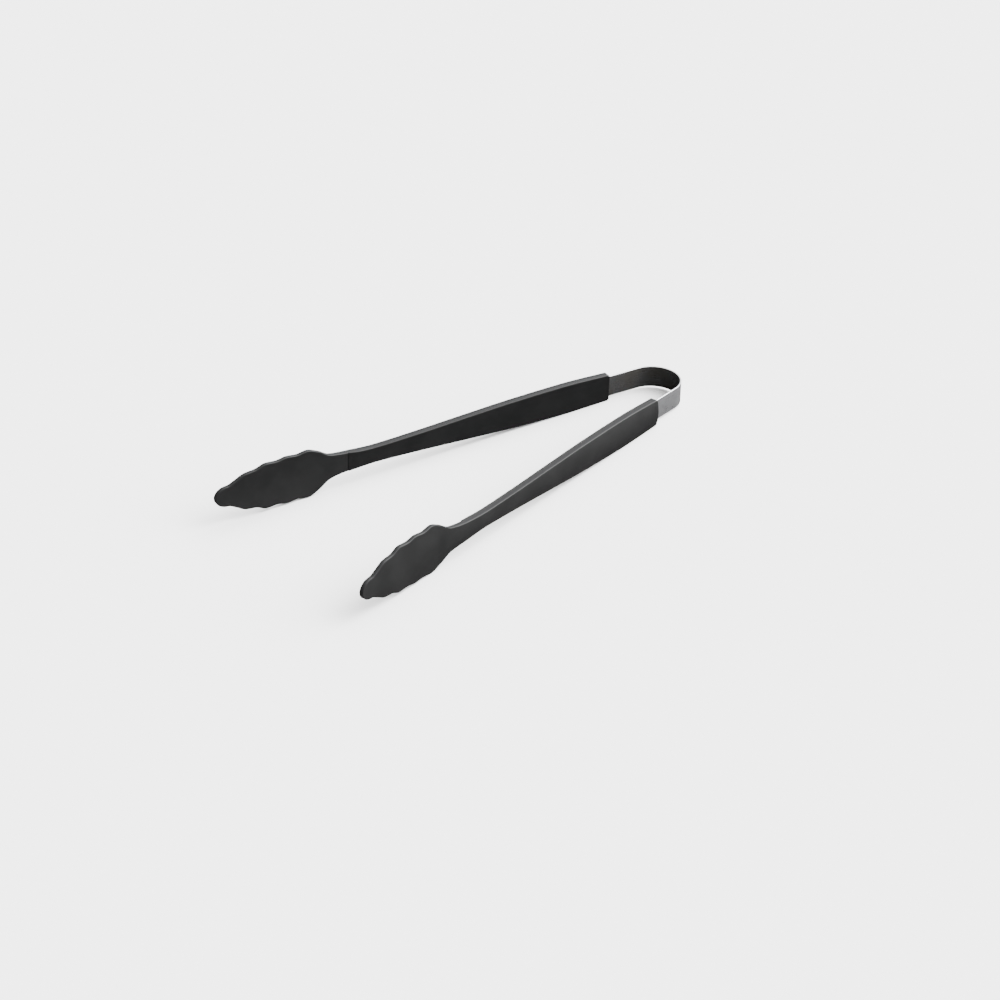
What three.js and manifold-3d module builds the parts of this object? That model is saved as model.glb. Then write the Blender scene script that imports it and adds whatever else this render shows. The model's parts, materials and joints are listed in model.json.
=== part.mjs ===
// Spring tongs for the kitchen, lying on edge as they rest on a worktop.
//
// A strip of spring steel is bent into a U. Its two tails run into two plastic arms, and each arm ends in a
// thin, slightly dished head with scalloped edges. An arm is a long moulding with a channel for the tail, a
// flat cover over its inner face, and two headed pins that go through the tail into the moulding.
//
// Millimetres. +Z is up, +X points from the bend to the tips, and the left arm is on the +Y side. The origin
// is the middle of the footprint, on the worktop.
//
// Arm coordinates: "along" is the distance along an arm from the middle of the bend, "out" is the distance
// outwards from the middle of the strip's thickness, and "height" is measured from the arm's centre line.

import * as THREE from 'three';
import { mergeVertices } from 'three/addons/utils/BufferGeometryUtils.js';
import Module from 'manifold-3d';

// ---- Driving dimensions ----

// Spring strip
const bendRadius = 15.95;        // to the middle of the strip's thickness
const armAngle = 9.65;           // degrees between each arm and the plane of symmetry
const stripWidth = 13;
const stripThickness = 0.9;
const tailInHandle = 63;         // length of strip inside a handle

// Arm, measured along it
const handleStart = 20.8;        // where the handle begins, past the bend
const handleLength = 157.2;      // from there to the narrowest part of the neck
const headLength = 100.6;        // from the narrowest part of the neck to the tip
const shoulderDistance = 43.4;   // from the narrowest part of the neck to the first scallop
const noseLength = 7.6;          // the rounded end of the head
const coverPastNeck = 17;        // how far the inner cover runs past the narrowest part

// Arm, heights
const sideWall = 1.5;            // moulding above and below the tail, at the handle's end
const gripSwell = 1.9;           // how much higher the grip is than the handle's end
const neckHeight = 9.6;
const headWidth = 29.4;

// Arm, thicknesses
const backWall = 1.8;            // moulding outside the tail's channel, at the handle's edges
const coverThickness = 1;
const seamStep = 0.8;            // how far the head's inner face lies behind the cover's
const headThickness = 2.5;
const gripRoundness = 30;        // radius across the handle's outer face
const dishRadius = 106;          // radius across the dished head
const headTurn = 0.3;            // degrees that the head leans inwards

// Pins and pegs
const pinRadius = 1.5;
const pinHeadRadius = 2.5;
const pinHeadThickness = 0.5;
const pinChamfer = 0.3;
const pinGrip = 1.7;             // length of a pin inside the moulding
const pinInsets = [15, 51];      // from the handle's end
const pegRadius = 1.6;
const pegLength = 1.6;
const pegInsets = [84, 119, 154];

const fitGap = 0.25;             // clearance between pieces that meet

// Fineness
const roundSides = 24;
const bendSteps = 40;
const rowsAcross = 8;            // sections of the moulding's curved faces, from edge to edge
const handleStations = 14;
const neckStations = 4;
const headStations = 44;
const noseStations = 7;
const overcut = 1;               // how far a cutter stands out of what it cuts

// ---- Places that follow from them ----

const neckAt = handleStart + handleLength;
const shoulderAt = neckAt + shoulderDistance;
const tipAt = neckAt + headLength;
const noseAt = tipAt - noseLength;
const coverEnd = neckAt + coverPastNeck;
const stepAt = coverEnd + fitGap;
const tailEnd = handleStart + tailInHandle;

const handleEndHeight = stripWidth + 2 * fitGap + 2 * sideWall;
const gripHeight = handleEndHeight + gripSwell;

const channelFloor = stripThickness / 2 + fitGap;
const handleEdge = channelFloor + backWall;
const moldingInside = -channelFloor;
const coverOutside = moldingInside - fitGap;
const coverInside = coverOutside - coverThickness;
const headInside = coverInside + seamStep;

const lean = THREE.MathUtils.degToRad(armAngle);
const mix = THREE.MathUtils.lerp;

// ---- Outline of an arm ----

// The head's half width at each scallop's crest and in the hollow after it, and where the nose begins, as
// shares of the first crest's.
const crestShares = [1, 0.985, 0.95, 0.75];
const hollowShares = [0.94, 0.92, 0.803, 0.542];
const noseShare = 0.415;
const lastHollowToNose = 0.35;   // in scallop pitches
const scallopPitch = (noseAt - shoulderAt) / (crestShares.length - 0.5 + lastHollowToNose);

// Knots of the outline: distance along the arm and half height. The nose beyond the last one is a quarter
// ellipse.
function outlineKnots() {
  const grip = (distance, share) => (
    [handleStart + handleLength * distance, mix(neckHeight, gripHeight, share) / 2]);
  const flare = (distance, share) => (
    [neckAt + shoulderDistance * distance, mix(neckHeight, headWidth, share) / 2]);
  const scallops = crestShares.flatMap((crest, i) => [
    [shoulderAt + i * scallopPitch, crest * headWidth / 2],
    [shoulderAt + (i + 0.5) * scallopPitch, hollowShares[i] * headWidth / 2],
  ]);
  return [
    [handleStart, handleEndHeight / 2],
    grip(0.19, 1), grip(0.41, 0.87), grip(0.63, 0.525), grip(0.82, 0.195),
    flare(0, 0), flare(0.41, 0.109), flare(0.65, 0.268), flare(0.84, 0.744),
    ...scallops,
    [noseAt, noseShare * headWidth / 2],
  ];
}

// The outline is level at a crest, in a hollow and at the nose. Elsewhere its slope is the harmonic mean of the
// slopes before and after, so that it never overshoots a knot.
function outlineSlopes(knots) {
  const rise = (i) => (knots[i + 1][1] - knots[i][1]) / (knots[i + 1][0] - knots[i][0]);
  const last = knots.length - 1;
  return knots.map((_, i) => {
    if (i === 0) return rise(0);
    if (i === last || rise(i - 1) * rise(i) <= 0) return 0;
    return (2 * rise(i - 1) * rise(i)) / (rise(i - 1) + rise(i));
  });
}

const knots = outlineKnots();
const slopes = outlineSlopes(knots);

function halfHeight(along) {
  if (along >= noseAt) {
    const share = Math.min((along - noseAt) / noseLength, 1);
    return noseShare * headWidth / 2 * Math.sqrt(1 - share * share);
  }
  const i = Math.max(knots.findIndex(([at]) => at > along) - 1, 0);
  const [from, low] = knots[i];
  const [to, high] = knots[i + 1];
  const span = to - from;
  const t = (along - from) / span;
  return (2 * t ** 3 - 3 * t ** 2 + 1) * low + (t ** 3 - 2 * t ** 2 + t) * span * slopes[i]
    + (3 * t ** 2 - 2 * t ** 3) * high + (t ** 3 - t ** 2) * span * slopes[i + 1];
}

// ---- Faces of an arm ----

// From 0 on the handle to 1 on the head, over the flare of the neck.
const blendMargin = 4;
const { smoothstep } = THREE.MathUtils;
const headShare = (along) => smoothstep(along, coverEnd - blendMargin, shoulderAt - blendMargin);
const leanIn = (along) => Math.max(along - coverEnd, 0) * Math.tan(THREE.MathUtils.degToRad(headTurn));
const sagAcross = (height, radius) => height ** 2 / (2 * radius);

function moldingInner(along, height) {
  const flat = along < stepAt ? moldingInside : headInside;
  return flat - leanIn(along) - headShare(along) * sagAcross(height, dishRadius);
}

function moldingOuter(along, height) {
  const handle = handleEdge + sagAcross(halfHeight(along), gripRoundness) - sagAcross(height, gripRoundness);
  const head = headInside + headThickness - sagAcross(height, dishRadius);
  return mix(handle, head, headShare(along)) - leanIn(along);
}

// ---- Solids ----

const wasm = await Module();
wasm.setup();

function merged(geometry) {
  geometry.deleteAttribute('normal');
  geometry.deleteAttribute('uv');
  return mergeVertices(geometry, 1e-4);
}

function toSolid(geometry) {
  const closed = merged(geometry);
  return new wasm.Manifold(new wasm.Mesh({
    numProp: 3,
    vertProperties: new Float32Array(closed.attributes.position.array),
    triVerts: new Uint32Array(closed.index.array),
  }));
}

function toGeometry(solid) {
  const mesh = solid.getMesh();
  const geometry = new THREE.BufferGeometry();
  geometry.setAttribute('position', new THREE.BufferAttribute(new Float32Array(mesh.vertProperties), 3));
  geometry.setIndex(new THREE.BufferAttribute(new Uint32Array(mesh.triVerts), 1));
  geometry.computeVertexNormals();
  return geometry;
}

function spaced(from, to, count) {
  return Array.from({ length: count }, (_, i) => mix(from, to, i / count));
}

// A block between two surfaces, as high as the arm, with a section at each station along it.
function armBlock(stations, rows, inner, outer) {
  const columns = stations.length - 1;
  const box = new THREE.BoxGeometry(1, 1, 1, columns, 1, rows);
  const corners = box.attributes.position;
  for (let i = 0; i < corners.count; i++) {
    const along = stations[Math.round((corners.getX(i) + 0.5) * columns)];
    const height = 2 * corners.getZ(i) * halfHeight(along);
    const out = corners.getY(i) < 0 ? inner(along, height) : outer(along, height);
    corners.setXYZ(i, along, bendRadius + out, height);
  }
  return toSolid(box);
}

// A cylinder across the arm, from one distance out to another.
function crossCylinder(along, radius, from, to) {
  const cylinder = new THREE.CylinderGeometry(radius, radius, to - from, roundSides);
  cylinder.translate(along, bendRadius + (from + to) / 2, 0);
  return toSolid(cylinder);
}

// The space that the tail lies in, open at the handle's end and towards the cover.
function tailChannel() {
  const length = tailInHandle + fitGap + overcut;
  const depth = channelFloor - moldingInside + overcut;
  const channel = new THREE.BoxGeometry(length, depth, stripWidth + 2 * fitGap);
  channel.translate(handleStart - overcut + length / 2, bendRadius + channelFloor - depth / 2, 0);
  return toSolid(channel);
}

function armMolding() {
  const stepSlope = 0.05;
  const noseReach = 0.995;       // the last section stops just short of the ellipse's end
  const nose = Array.from({ length: noseStations + 1 }, (_, i) => (
    noseAt + noseLength * noseReach * Math.sin(i / noseStations * Math.PI / 2)));
  const stations = [
    ...spaced(handleStart, neckAt, handleStations),
    ...spaced(neckAt, stepAt, neckStations), stepAt - stepSlope,
    ...spaced(stepAt, noseAt, headStations),
    ...nose,
  ];
  let molding = armBlock(stations, rowsAcross, moldingInner, moldingOuter).subtract(tailChannel());
  const pinHole = [pinRadius + fitGap, 0, channelFloor + pinGrip + fitGap];
  const pegHole = [pegRadius + fitGap, moldingInside - overcut, coverOutside + pegLength + fitGap];
  for (const inset of pinInsets) molding = molding.subtract(crossCylinder(handleStart + inset, ...pinHole));
  for (const inset of pegInsets) molding = molding.subtract(crossCylinder(handleStart + inset, ...pegHole));
  return toGeometry(molding);
}

function innerCover() {
  const rows = 2;
  const stations = [
    ...spaced(handleStart, neckAt, handleStations),
    ...spaced(neckAt, coverEnd, neckStations),
    coverEnd,
  ];
  let cover = armBlock(stations, rows, () => coverInside, () => coverOutside);
  const pocket = [pinHeadRadius + fitGap, moldingInside - pinHeadThickness - fitGap, coverOutside + overcut];
  const peg = [pegRadius, coverOutside - coverThickness / 2, coverOutside + pegLength];
  for (const inset of pinInsets) cover = cover.subtract(crossCylinder(handleStart + inset, ...pocket));
  for (const inset of pegInsets) cover = cover.add(crossCylinder(handleStart + inset, ...peg));
  return toGeometry(cover);
}

// A headed pin, turned about its own axis and laid across the arm, with its head on the inner side of the tail.
function tailPin(inset) {
  const headBase = moldingInside;
  const headTop = headBase - pinHeadThickness;
  const end = channelFloor + pinGrip;
  const profile = [
    [0, headTop], [pinHeadRadius - pinChamfer / 2, headTop], [pinHeadRadius, headTop + pinChamfer / 2],
    [pinHeadRadius, headBase], [pinRadius, headBase],
    [pinRadius, end - pinChamfer], [pinRadius - pinChamfer, end], [0, end],
  ];
  const points = profile.map(([radius, out]) => new THREE.Vector2(radius, out));
  const pin = new THREE.LatheGeometry(points, roundSides);
  pin.translate(handleStart + inset, bendRadius, 0);
  return pin;
}

// The strip, in the frame that both arms share: an arc round the back of the bend and a straight tail in each
// arm.
function springStrip() {
  const onTail = (side, along, out) => new THREE.Vector2(along, bendRadius + out)
    .rotateAround(new THREE.Vector2(0, 0), lean)
    .multiply(new THREE.Vector2(1, side));
  const half = stripThickness / 2;
  const tangent = Math.PI / 2 + lean;
  const shape = new THREE.Shape();
  shape.moveTo(...onTail(1, tailEnd, half));
  shape.absarc(0, 0, bendRadius + half, tangent, -tangent, false);
  shape.lineTo(...onTail(-1, tailEnd, half));
  shape.lineTo(...onTail(-1, tailEnd, -half));
  shape.absarc(0, 0, bendRadius - half, -tangent, tangent, true);
  shape.lineTo(...onTail(1, tailEnd, -half));
  const options = { depth: stripWidth, bevelEnabled: false, curveSegments: bendSteps };
  const blank = new THREE.ExtrudeGeometry(shape, options);
  blank.translate(0, 0, -stripWidth / 2);
  let strip = toSolid(blank);
  for (const side of [1, -1]) {
    for (const inset of pinInsets) {
      const radius = pinRadius + fitGap;
      const hole = new THREE.CylinderGeometry(radius, radius, stripThickness + 2 * overcut, roundSides);
      const centre = onTail(side, handleStart + inset, 0);
      hole.rotateZ(side * lean);
      hole.translate(centre.x, centre.y, 0);
      strip = strip.subtract(toSolid(hole));
    }
  }
  return toGeometry(strip);
}

// The right-hand copy of a left-hand piece, with its faces turned the right way again.
function mirrored(geometry) {
  const copy = merged(geometry.clone());
  copy.scale(1, -1, 1);
  const { index } = copy;
  for (let i = 0; i < index.count; i += 3) {
    const second = index.getX(i + 1);
    index.setX(i + 1, index.getX(i + 2));
    index.setX(i + 2, second);
  }
  copy.computeVertexNormals();
  return copy;
}

// ---- Materials ----

const nylon = new THREE.MeshStandardMaterial({ color: 0x1d1e20, roughness: 0.55, metalness: 0 });
const springSteel = new THREE.MeshStandardMaterial({ color: 0xb9babc, roughness: 0.35, metalness: 1 });
const pinSteel = new THREE.MeshStandardMaterial({ color: 0xa8a9ab, roughness: 0.4, metalness: 1 });

function piece(name, geometry, material) {
  const mesh = new THREE.Mesh(geometry, material);
  mesh.name = name;
  return mesh;
}

// ---- Assembly ----

// The tongs rest on the rear corners of the handles and on the lowest scallop of each head.
function restAngle() {
  const searchStep = 0.5;
  const slopeTo = (along) => Math.atan2(
    halfHeight(along) - handleEndHeight / 2,
    (along - handleStart) * Math.cos(lean),
  );
  return Math.max(...spaced(neckAt, tipAt, Math.ceil(headLength / searchStep)).map(slopeTo));
}

const onEdge = new THREE.Group();
onEdge.rotation.y = -restAngle();
onEdge.add(piece('spring_strip', springStrip(), springSteel));

const leftPieces = [
  ['arm', armMolding(), nylon],
  ['cover', innerCover(), nylon],
  ...pinInsets.map((inset, i) => [`pin_${i + 1}`, tailPin(inset), pinSteel]),
];
for (const [hand, side] of [['left', 1], ['right', -1]]) {
  const arm = new THREE.Group();
  arm.rotation.z = side * lean;
  for (const [name, geometry, material] of leftPieces) {
    arm.add(piece(`${hand}_${name}`, side > 0 ? geometry : mirrored(geometry), material));
  }
  onEdge.add(arm);
}

const tongs = new THREE.Group();
tongs.add(onEdge);
const extent = new THREE.Box3().setFromObject(tongs, true);
tongs.position.set(-(extent.min.x + extent.max.x) / 2, -(extent.min.y + extent.max.y) / 2, -extent.min.z);

export default tongs;
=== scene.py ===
"""Spring tongs for the kitchen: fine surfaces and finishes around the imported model.

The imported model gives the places, and the classes here give the shapes: a spring strip bent into a U, and two
plastic arms, each a moulding with a cover over its inner face. Sizes in the classes are millimetres, and a
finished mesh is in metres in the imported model's frame.

Arm coordinates: "along" is the distance along an arm from the middle of the bend, "out" is the distance
outwards from the middle of the strip's thickness, and "height" is measured from the arm's centre line.
"""

import json
import logging
import math
from collections.abc import Callable, Sequence
from dataclasses import dataclass, field
from enum import Enum
from functools import cached_property

import bmesh
import bpy
import numpy as np
from mathutils import Matrix, Vector


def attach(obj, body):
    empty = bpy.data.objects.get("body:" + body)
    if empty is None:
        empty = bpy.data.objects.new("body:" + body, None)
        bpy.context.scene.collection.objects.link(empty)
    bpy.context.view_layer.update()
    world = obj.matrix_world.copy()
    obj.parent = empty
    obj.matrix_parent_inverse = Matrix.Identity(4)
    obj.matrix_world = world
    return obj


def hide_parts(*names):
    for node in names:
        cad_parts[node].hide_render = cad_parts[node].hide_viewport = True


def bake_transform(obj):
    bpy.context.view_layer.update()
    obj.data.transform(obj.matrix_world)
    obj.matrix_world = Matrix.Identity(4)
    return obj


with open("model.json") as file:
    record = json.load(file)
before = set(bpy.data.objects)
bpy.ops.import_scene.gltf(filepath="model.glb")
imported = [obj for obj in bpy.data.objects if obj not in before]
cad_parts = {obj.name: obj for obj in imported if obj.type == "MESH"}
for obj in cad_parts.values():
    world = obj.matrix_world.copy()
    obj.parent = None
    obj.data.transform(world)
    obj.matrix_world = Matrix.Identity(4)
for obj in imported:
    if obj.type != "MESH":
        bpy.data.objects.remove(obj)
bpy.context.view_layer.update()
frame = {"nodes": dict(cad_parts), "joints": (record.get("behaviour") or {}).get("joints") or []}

MM = 0.001
MERGE_DISTANCE = 1e-5
SHARP_ANGLE = math.radians(32)
LOG = logging.getLogger("tongs")

Point = tuple[float, float]
Colour = tuple[float, float, float]
Face = Callable[[float, float], float]
Mesh = bpy.types.Mesh
Socket = bpy.types.NodeSocket
Material = bpy.types.Material


class Side(Enum):
    """The hand that a piece belongs to. The value is the sign of its Y."""

    LEFT = 1
    RIGHT = -1

    @property
    def word(self) -> str:
        """The side as it stands in node names."""
        return self.name.lower()

    @property
    def body(self) -> str:
        """The body that the side's pieces move with."""
        return f"{self.word}_side"


class Slot(Enum):
    """Names of the record's material slots for nylon and spring steel. Nothing in the script uses them."""

    NYLON = "nylon"
    SPRING_STEEL = "spring_steel"


def mix(low: float, high: float, share: float) -> float:
    """Blend two numbers.

    Args:
        low: the value at share 0.
        high: the value at share 1.
        share: how far to go from low to high.

    Returns:
        The blended number.
    """
    return low + (high - low) * share


def smoothstep(value: float, start: float, end: float) -> float:
    """Rise smoothly from 0 at start to 1 at end.

    Args:
        value: where to read the step.
        start: where it leaves 0.
        end: where it reaches 1.

    Returns:
        A number from 0 to 1.
    """
    share = min(max((value - start) / (end - start), 0.0), 1.0)
    return share * share * (3 - 2 * share)


# ---------------------------------------------------------------------------------------------------------
# Sizes
# ---------------------------------------------------------------------------------------------------------


@dataclass(frozen=True)
class StripShape:
    """Sizes of the spring strip, in millimetres."""

    bend_radius: float = 15.95
    arm_angle: float = 9.65
    width: float = 13.0
    thickness: float = 0.9
    tail_end: float = 83.8
    edge_radius: float = 0.28
    hole_radius: float = 1.6
    pin_places: tuple[float, ...] = (35.8, 71.8)

    @property
    def lean(self) -> float:
        """Angle between an arm and the plane of symmetry, in radians."""
        return math.radians(self.arm_angle)

    @property
    def half_bend(self) -> float:
        """Angle of bend on either side of the back, in radians."""
        return math.pi / 2 - self.lean

    @property
    def pivot_distance(self) -> float:
        """How far the centroid of the bend's arc lies behind the middle of the bend."""
        return self.bend_radius * math.sin(self.half_bend) / self.half_bend


@dataclass(frozen=True)
class ArmShape:
    """Outline and faces of an arm, in arm coordinates, in millimetres."""

    handle_start: float = 20.8
    handle_length: float = 157.2
    head_length: float = 100.6
    shoulder_distance: float = 43.4
    nose_length: float = 7.6
    cover_past_neck: float = 17.0
    handle_end_height: float = 16.5
    handle_height: float = 18.4
    neck_height: float = 9.6
    head_width: float = 29.4
    handle_edge: float = 2.5
    molding_inside: float = -0.7
    cover_inside: float = -1.95
    cover_end_inside: float = -1.45
    cover_taper: float = 7.0
    head_inside: float = -1.15
    head_thickness: float = 2.5
    grip_roundness: float = 30.0
    dish_radius: float = 106.0
    head_turn: float = 0.3
    crest_shares: tuple[float, ...] = (1.0, 0.985, 0.95, 0.75)
    hollow_shares: tuple[float, ...] = (0.94, 0.92, 0.803, 0.542)
    nose_share: float = 0.415
    last_hollow_to_nose: float = 0.35
    blend_margin: float = 4.0
    grip_curve: tuple[Point, ...] = ((0.19, 1.0), (0.41, 0.87), (0.63, 0.525), (0.82, 0.195))
    flare_curve: tuple[Point, ...] = ((0.0, 0.0), (0.41, 0.109), (0.65, 0.268), (0.84, 0.744))

    @property
    def neck_at(self) -> float:
        """Where the neck is narrowest."""
        return self.handle_start + self.handle_length

    @property
    def shoulder_at(self) -> float:
        """Where the first scallop has its crest."""
        return self.neck_at + self.shoulder_distance

    @property
    def nose_at(self) -> float:
        """Where the rounded end of the head begins."""
        return self.neck_at + self.head_length - self.nose_length

    @property
    def cover_end(self) -> float:
        """Where the inner cover ends."""
        return self.neck_at + self.cover_past_neck

    @cached_property
    def knots(self) -> list[Point]:
        """Knots of the outline as distance along the arm and half height, up to the nose."""
        last = len(self.crest_shares) - 0.5 + self.last_hollow_to_nose
        pitch = (self.nose_at - self.shoulder_at) / last
        half_head = self.head_width / 2
        knots = [(self.handle_start, self.handle_end_height / 2)]
        for distance, share in self.grip_curve:
            along = self.handle_start + self.handle_length * distance
            knots.append((along, mix(self.neck_height, self.handle_height, share) / 2))
        for distance, share in self.flare_curve:
            along = self.neck_at + self.shoulder_distance * distance
            knots.append((along, mix(self.neck_height, self.head_width, share) / 2))
        for i, (crest, hollow) in enumerate(zip(self.crest_shares, self.hollow_shares)):
            knots.append((self.shoulder_at + i * pitch, crest * half_head))
            knots.append((self.shoulder_at + (i + 0.5) * pitch, hollow * half_head))
        return knots + [(self.nose_at, self.nose_share * half_head)]

    @cached_property
    def slopes(self) -> list[float]:
        """Slope at each knot: level at crests, in hollows and at the nose, elsewhere a harmonic mean."""
        rises = [(high - low) / (to - at) for (at, low), (to, high) in zip(self.knots, self.knots[1:])]
        inner = [0.0 if a * b <= 0 else 2 * a * b / (a + b) for a, b in zip(rises, rises[1:])]
        return [rises[0], *inner, 0.0]

    def half_height(self, along: float) -> float:
        """Read the outline.

        Args:
            along: distance along the arm.

        Returns:
            Half of the arm's height there.
        """
        if along >= self.nose_at:
            share = min((along - self.nose_at) / self.nose_length, 1.0)
            return self.knots[-1][1] * math.sqrt(1 - share * share)
        i = max(next(k for k, (at, _) in enumerate(self.knots) if at > along) - 1, 0)
        (start, low), (end, high) = self.knots[i:i + 2]
        span = end - start
        t = (along - start) / span
        value = (2 * t**3 - 3 * t**2 + 1) * low + (3 * t**2 - 2 * t**3) * high
        return value + span * ((t**3 - 2 * t**2 + t) * self.slopes[i] + (t**3 - t**2) * self.slopes[i + 1])

    def head_share(self, along: float) -> float:
        """Return how much of the head's shape an arm has there, from 0 on the handle to 1 on the head."""
        return smoothstep(along, self.cover_end - self.blend_margin, self.shoulder_at - self.blend_margin)

    def lean_in(self, along: float) -> float:
        """Return how far the head leans inwards there."""
        return max(along - self.cover_end, 0.0) * math.tan(math.radians(self.head_turn))

    def cover_face(self, along: float, _: float) -> float:
        """Return how far out the cover's inner face lies there. It comes up to meet the head."""
        share = smoothstep(along, self.cover_end - self.cover_taper, self.cover_end)
        return mix(self.cover_inside, self.cover_end_inside, share)

    def inner(self, along: float, height: float) -> float:
        """Read the moulding's inner face.

        Args:
            along: distance along the arm.
            height: distance from its centre line.

        Returns:
            Distance out.
        """
        flat = self.molding_inside if along <= self.cover_end else self.head_inside
        return flat - self.lean_in(along) - self.head_share(along) * height**2 / (2 * self.dish_radius)

    def outer(self, along: float, height: float) -> float:
        """Read the moulding's outer face.

        Args:
            along: distance along the arm.
            height: distance from its centre line.

        Returns:
            Distance out.
        """
        dome = (self.half_height(along)**2 - height**2) / (2 * self.grip_roundness)
        head = self.head_inside + self.head_thickness - height**2 / (2 * self.dish_radius)
        return mix(self.handle_edge + dome, head, self.head_share(along)) - self.lean_in(along)


@dataclass(frozen=True)
class Placement:
    """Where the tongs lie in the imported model's frame, worked out from the joint between the arms."""

    strip: StripShape

    @cached_property
    def base(self) -> Matrix:
        """Matrix from the tongs' own frame, in millimetres with the bend's middle at 0, to the row frame."""
        joint = frame["joints"][0]
        up = -Vector(joint["axis"]).normalized()
        across = Vector((0.0, 1.0, 0.0))
        forward = across.cross(up).normalized()
        middle = Vector(joint["pos_m"]) + forward * self.strip.pivot_distance * MM
        turn = Matrix((forward, across, up)).transposed().to_4x4()
        return Matrix.Translation(middle) @ turn @ Matrix.Scale(MM, 4)

    def arm(self, side: Side) -> Matrix:
        """Place an arm.

        Args:
            side: the arm's side. A right-hand mesh is a mirror image already.

        Returns:
            Matrix from the arm's own frame to the row frame.
        """
        return self.base @ Matrix.Rotation(side.value * self.strip.lean, 4, "Z")

    def tail_point(self, side: Side, along: float) -> Vector:
        """Find a point in the middle of the strip.

        Args:
            side: the side of the tail.
            along: distance along that arm.

        Returns:
            The point in the row frame.
        """
        return self.arm(side) @ Vector((along, side.value * self.strip.bend_radius, 0.0))


# ---------------------------------------------------------------------------------------------------------
# Mesh work
# ---------------------------------------------------------------------------------------------------------


@dataclass(frozen=True)
class Rim:
    """How a plate's edge is rounded, in millimetres."""

    outer_radius: Callable[[float], float]
    inner_radius: Callable[[float], float]
    arc_steps: int = 6
    support: float = 0.2


@dataclass
class Plate:
    """A closed plate between two faces, with a rounded rim all round its outline.

    The outline is given as columns across the plate. The first and the last column lie on the outline, and
    each column between them reaches from the lower outline to the upper one.
    """

    stations: list[float]
    columns: np.ndarray
    inner: Face
    outer: Face
    rim: Rim

    @cached_property
    def border(self) -> list[tuple[int, int]]:
        """Grid places of the outline's points, in order round the plate."""
        last = len(self.stations) - 1
        rows = self.columns.shape[1] - 1
        first = [(0, k) for k in range(rows + 1)]
        upper = [(j, rows) for j in range(1, last)]
        end = [(last, k) for k in range(rows, -1, -1)]
        lower = [(j, 0) for j in range(last - 1, 0, -1)]
        return first + upper + end + lower

    @cached_property
    def outline(self) -> np.ndarray:
        """Points of the outline."""
        return np.array([self.columns[j, k] for j, k in self.border])

    @cached_property
    def normals(self) -> np.ndarray:
        """Outward directions at the outline's points."""
        tangents = np.roll(self.outline, -1, axis=0) - np.roll(self.outline, 1, axis=0)
        normals = np.stack([-tangents[:, 1], tangents[:, 0]], axis=1)
        return normals / np.linalg.norm(normals, axis=1, keepdims=True)

    def inset(self, distances: Sequence[float]) -> np.ndarray:
        """Move the outline inwards.

        Args:
            distances: how far to move each of its points.

        Returns:
            The moved points.
        """
        return self.outline - self.normals * np.array(distances)[:, None]

    def ring(self, angle: float, outside: bool) -> np.ndarray:
        """Make one ring of the rounded rim.

        Args:
            angle: place on the quarter round, from 0 on the face to a right angle on the wall.
            outside: whether the ring belongs to the outer face's round.

        Returns:
            Points of the ring as along, out, height.
        """
        stations = [self.stations[j] for j, _ in self.border]
        radius_at = self.rim.outer_radius if outside else self.rim.inner_radius
        radii = np.array([radius_at(station) for station in stations])
        flat = self.inset(radii * (1 - math.sin(angle)))
        depths = radii * (1 - math.cos(angle))
        face = self.outer if outside else self.inner
        sign = -1 if outside else 1
        outs = [face(s, h) + sign * d for s, (_, h), d in zip(stations, flat, depths)]
        return np.column_stack([flat[:, 0], outs, flat[:, 1]])

    def face_grid(self, outside: bool) -> np.ndarray:
        """Make the grid of a face.

        Args:
            outside: whether it is the outer face.

        Returns:
            Grid of points as along, out, height.
        """
        radius_at = self.rim.outer_radius if outside else self.rim.inner_radius
        border = self.inset([radius_at(self.stations[j]) + self.rim.support for j, _ in self.border])
        face = self.outer if outside else self.inner
        last = len(self.stations) - 1
        rows = self.columns.shape[1] - 1
        grid = np.zeros((last + 1, rows + 1, 3))
        for (j, k), (along, height) in zip(self.border, border):
            grid[j, k] = (along, 0.0, height)
        shares = np.linspace(0, 1, rows + 1)[:, None]
        for j in range(1, last):
            grid[j] = grid[j, 0] * (1 - shares) + grid[j, rows] * shares
        for j, station in enumerate(self.stations):
            for k in range(rows + 1):
                grid[j, k, 1] = face(station, grid[j, k, 2])
        return grid

    def build(self, name: str, lift: float) -> Mesh:
        """Build the plate's mesh.

        Args:
            name: name of the mesh.
            lift: distance from the arm's axis to where "out" is 0.

        Returns:
            A closed mesh in the arm's own frame, with a "rim" attribute that rises to 1 over the rounds.
        """
        angles = np.linspace(0, math.pi / 2, self.rim.arc_steps + 1)
        rings = [self.ring(a, True) for a in angles] + [self.ring(a, False) for a in angles[::-1]]
        on_arc = [math.sin(a)**0.5 for a in angles]
        worn = on_arc + on_arc[::-1]
        grids = [self.face_grid(True), self.face_grid(False)]
        cells = grids[0].shape[0] * grids[0].shape[1]
        points = np.vstack([g.reshape(-1, 3) for g in grids] + rings)
        points[:, 1] += lift
        count = len(self.border)
        values = np.concatenate([np.zeros(2 * cells), np.repeat(worn, count)])

        rows = self.columns.shape[1]
        faces = []
        for j in range(len(self.stations) - 1):
            for k in range(rows - 1):
                a = j * rows + k
                quad = (a, a + 1, a + rows + 1, a + rows)
                faces.append(quad)
                faces.append(tuple(cells + v for v in reversed(quad)))
        around = [j * rows + k for j, k in self.border]
        loops = [around]
        loops += [[2 * cells + r * count + i for i in range(count)] for r in range(len(rings))]
        loops += [[cells + v for v in around]]
        for upper, lower in zip(loops, loops[1:]):
            for i in range(count):
                n = (i + 1) % count
                faces.append((upper[i], lower[i], lower[n], upper[n]))

        mesh = bpy.data.meshes.new(name)
        mesh.from_pydata(points.tolist(), [], faces)
        mesh.attributes.new("rim", "FLOAT", "POINT").data.foreach_set("value", values.astype(np.float32))
        return tidied(mesh)


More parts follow.
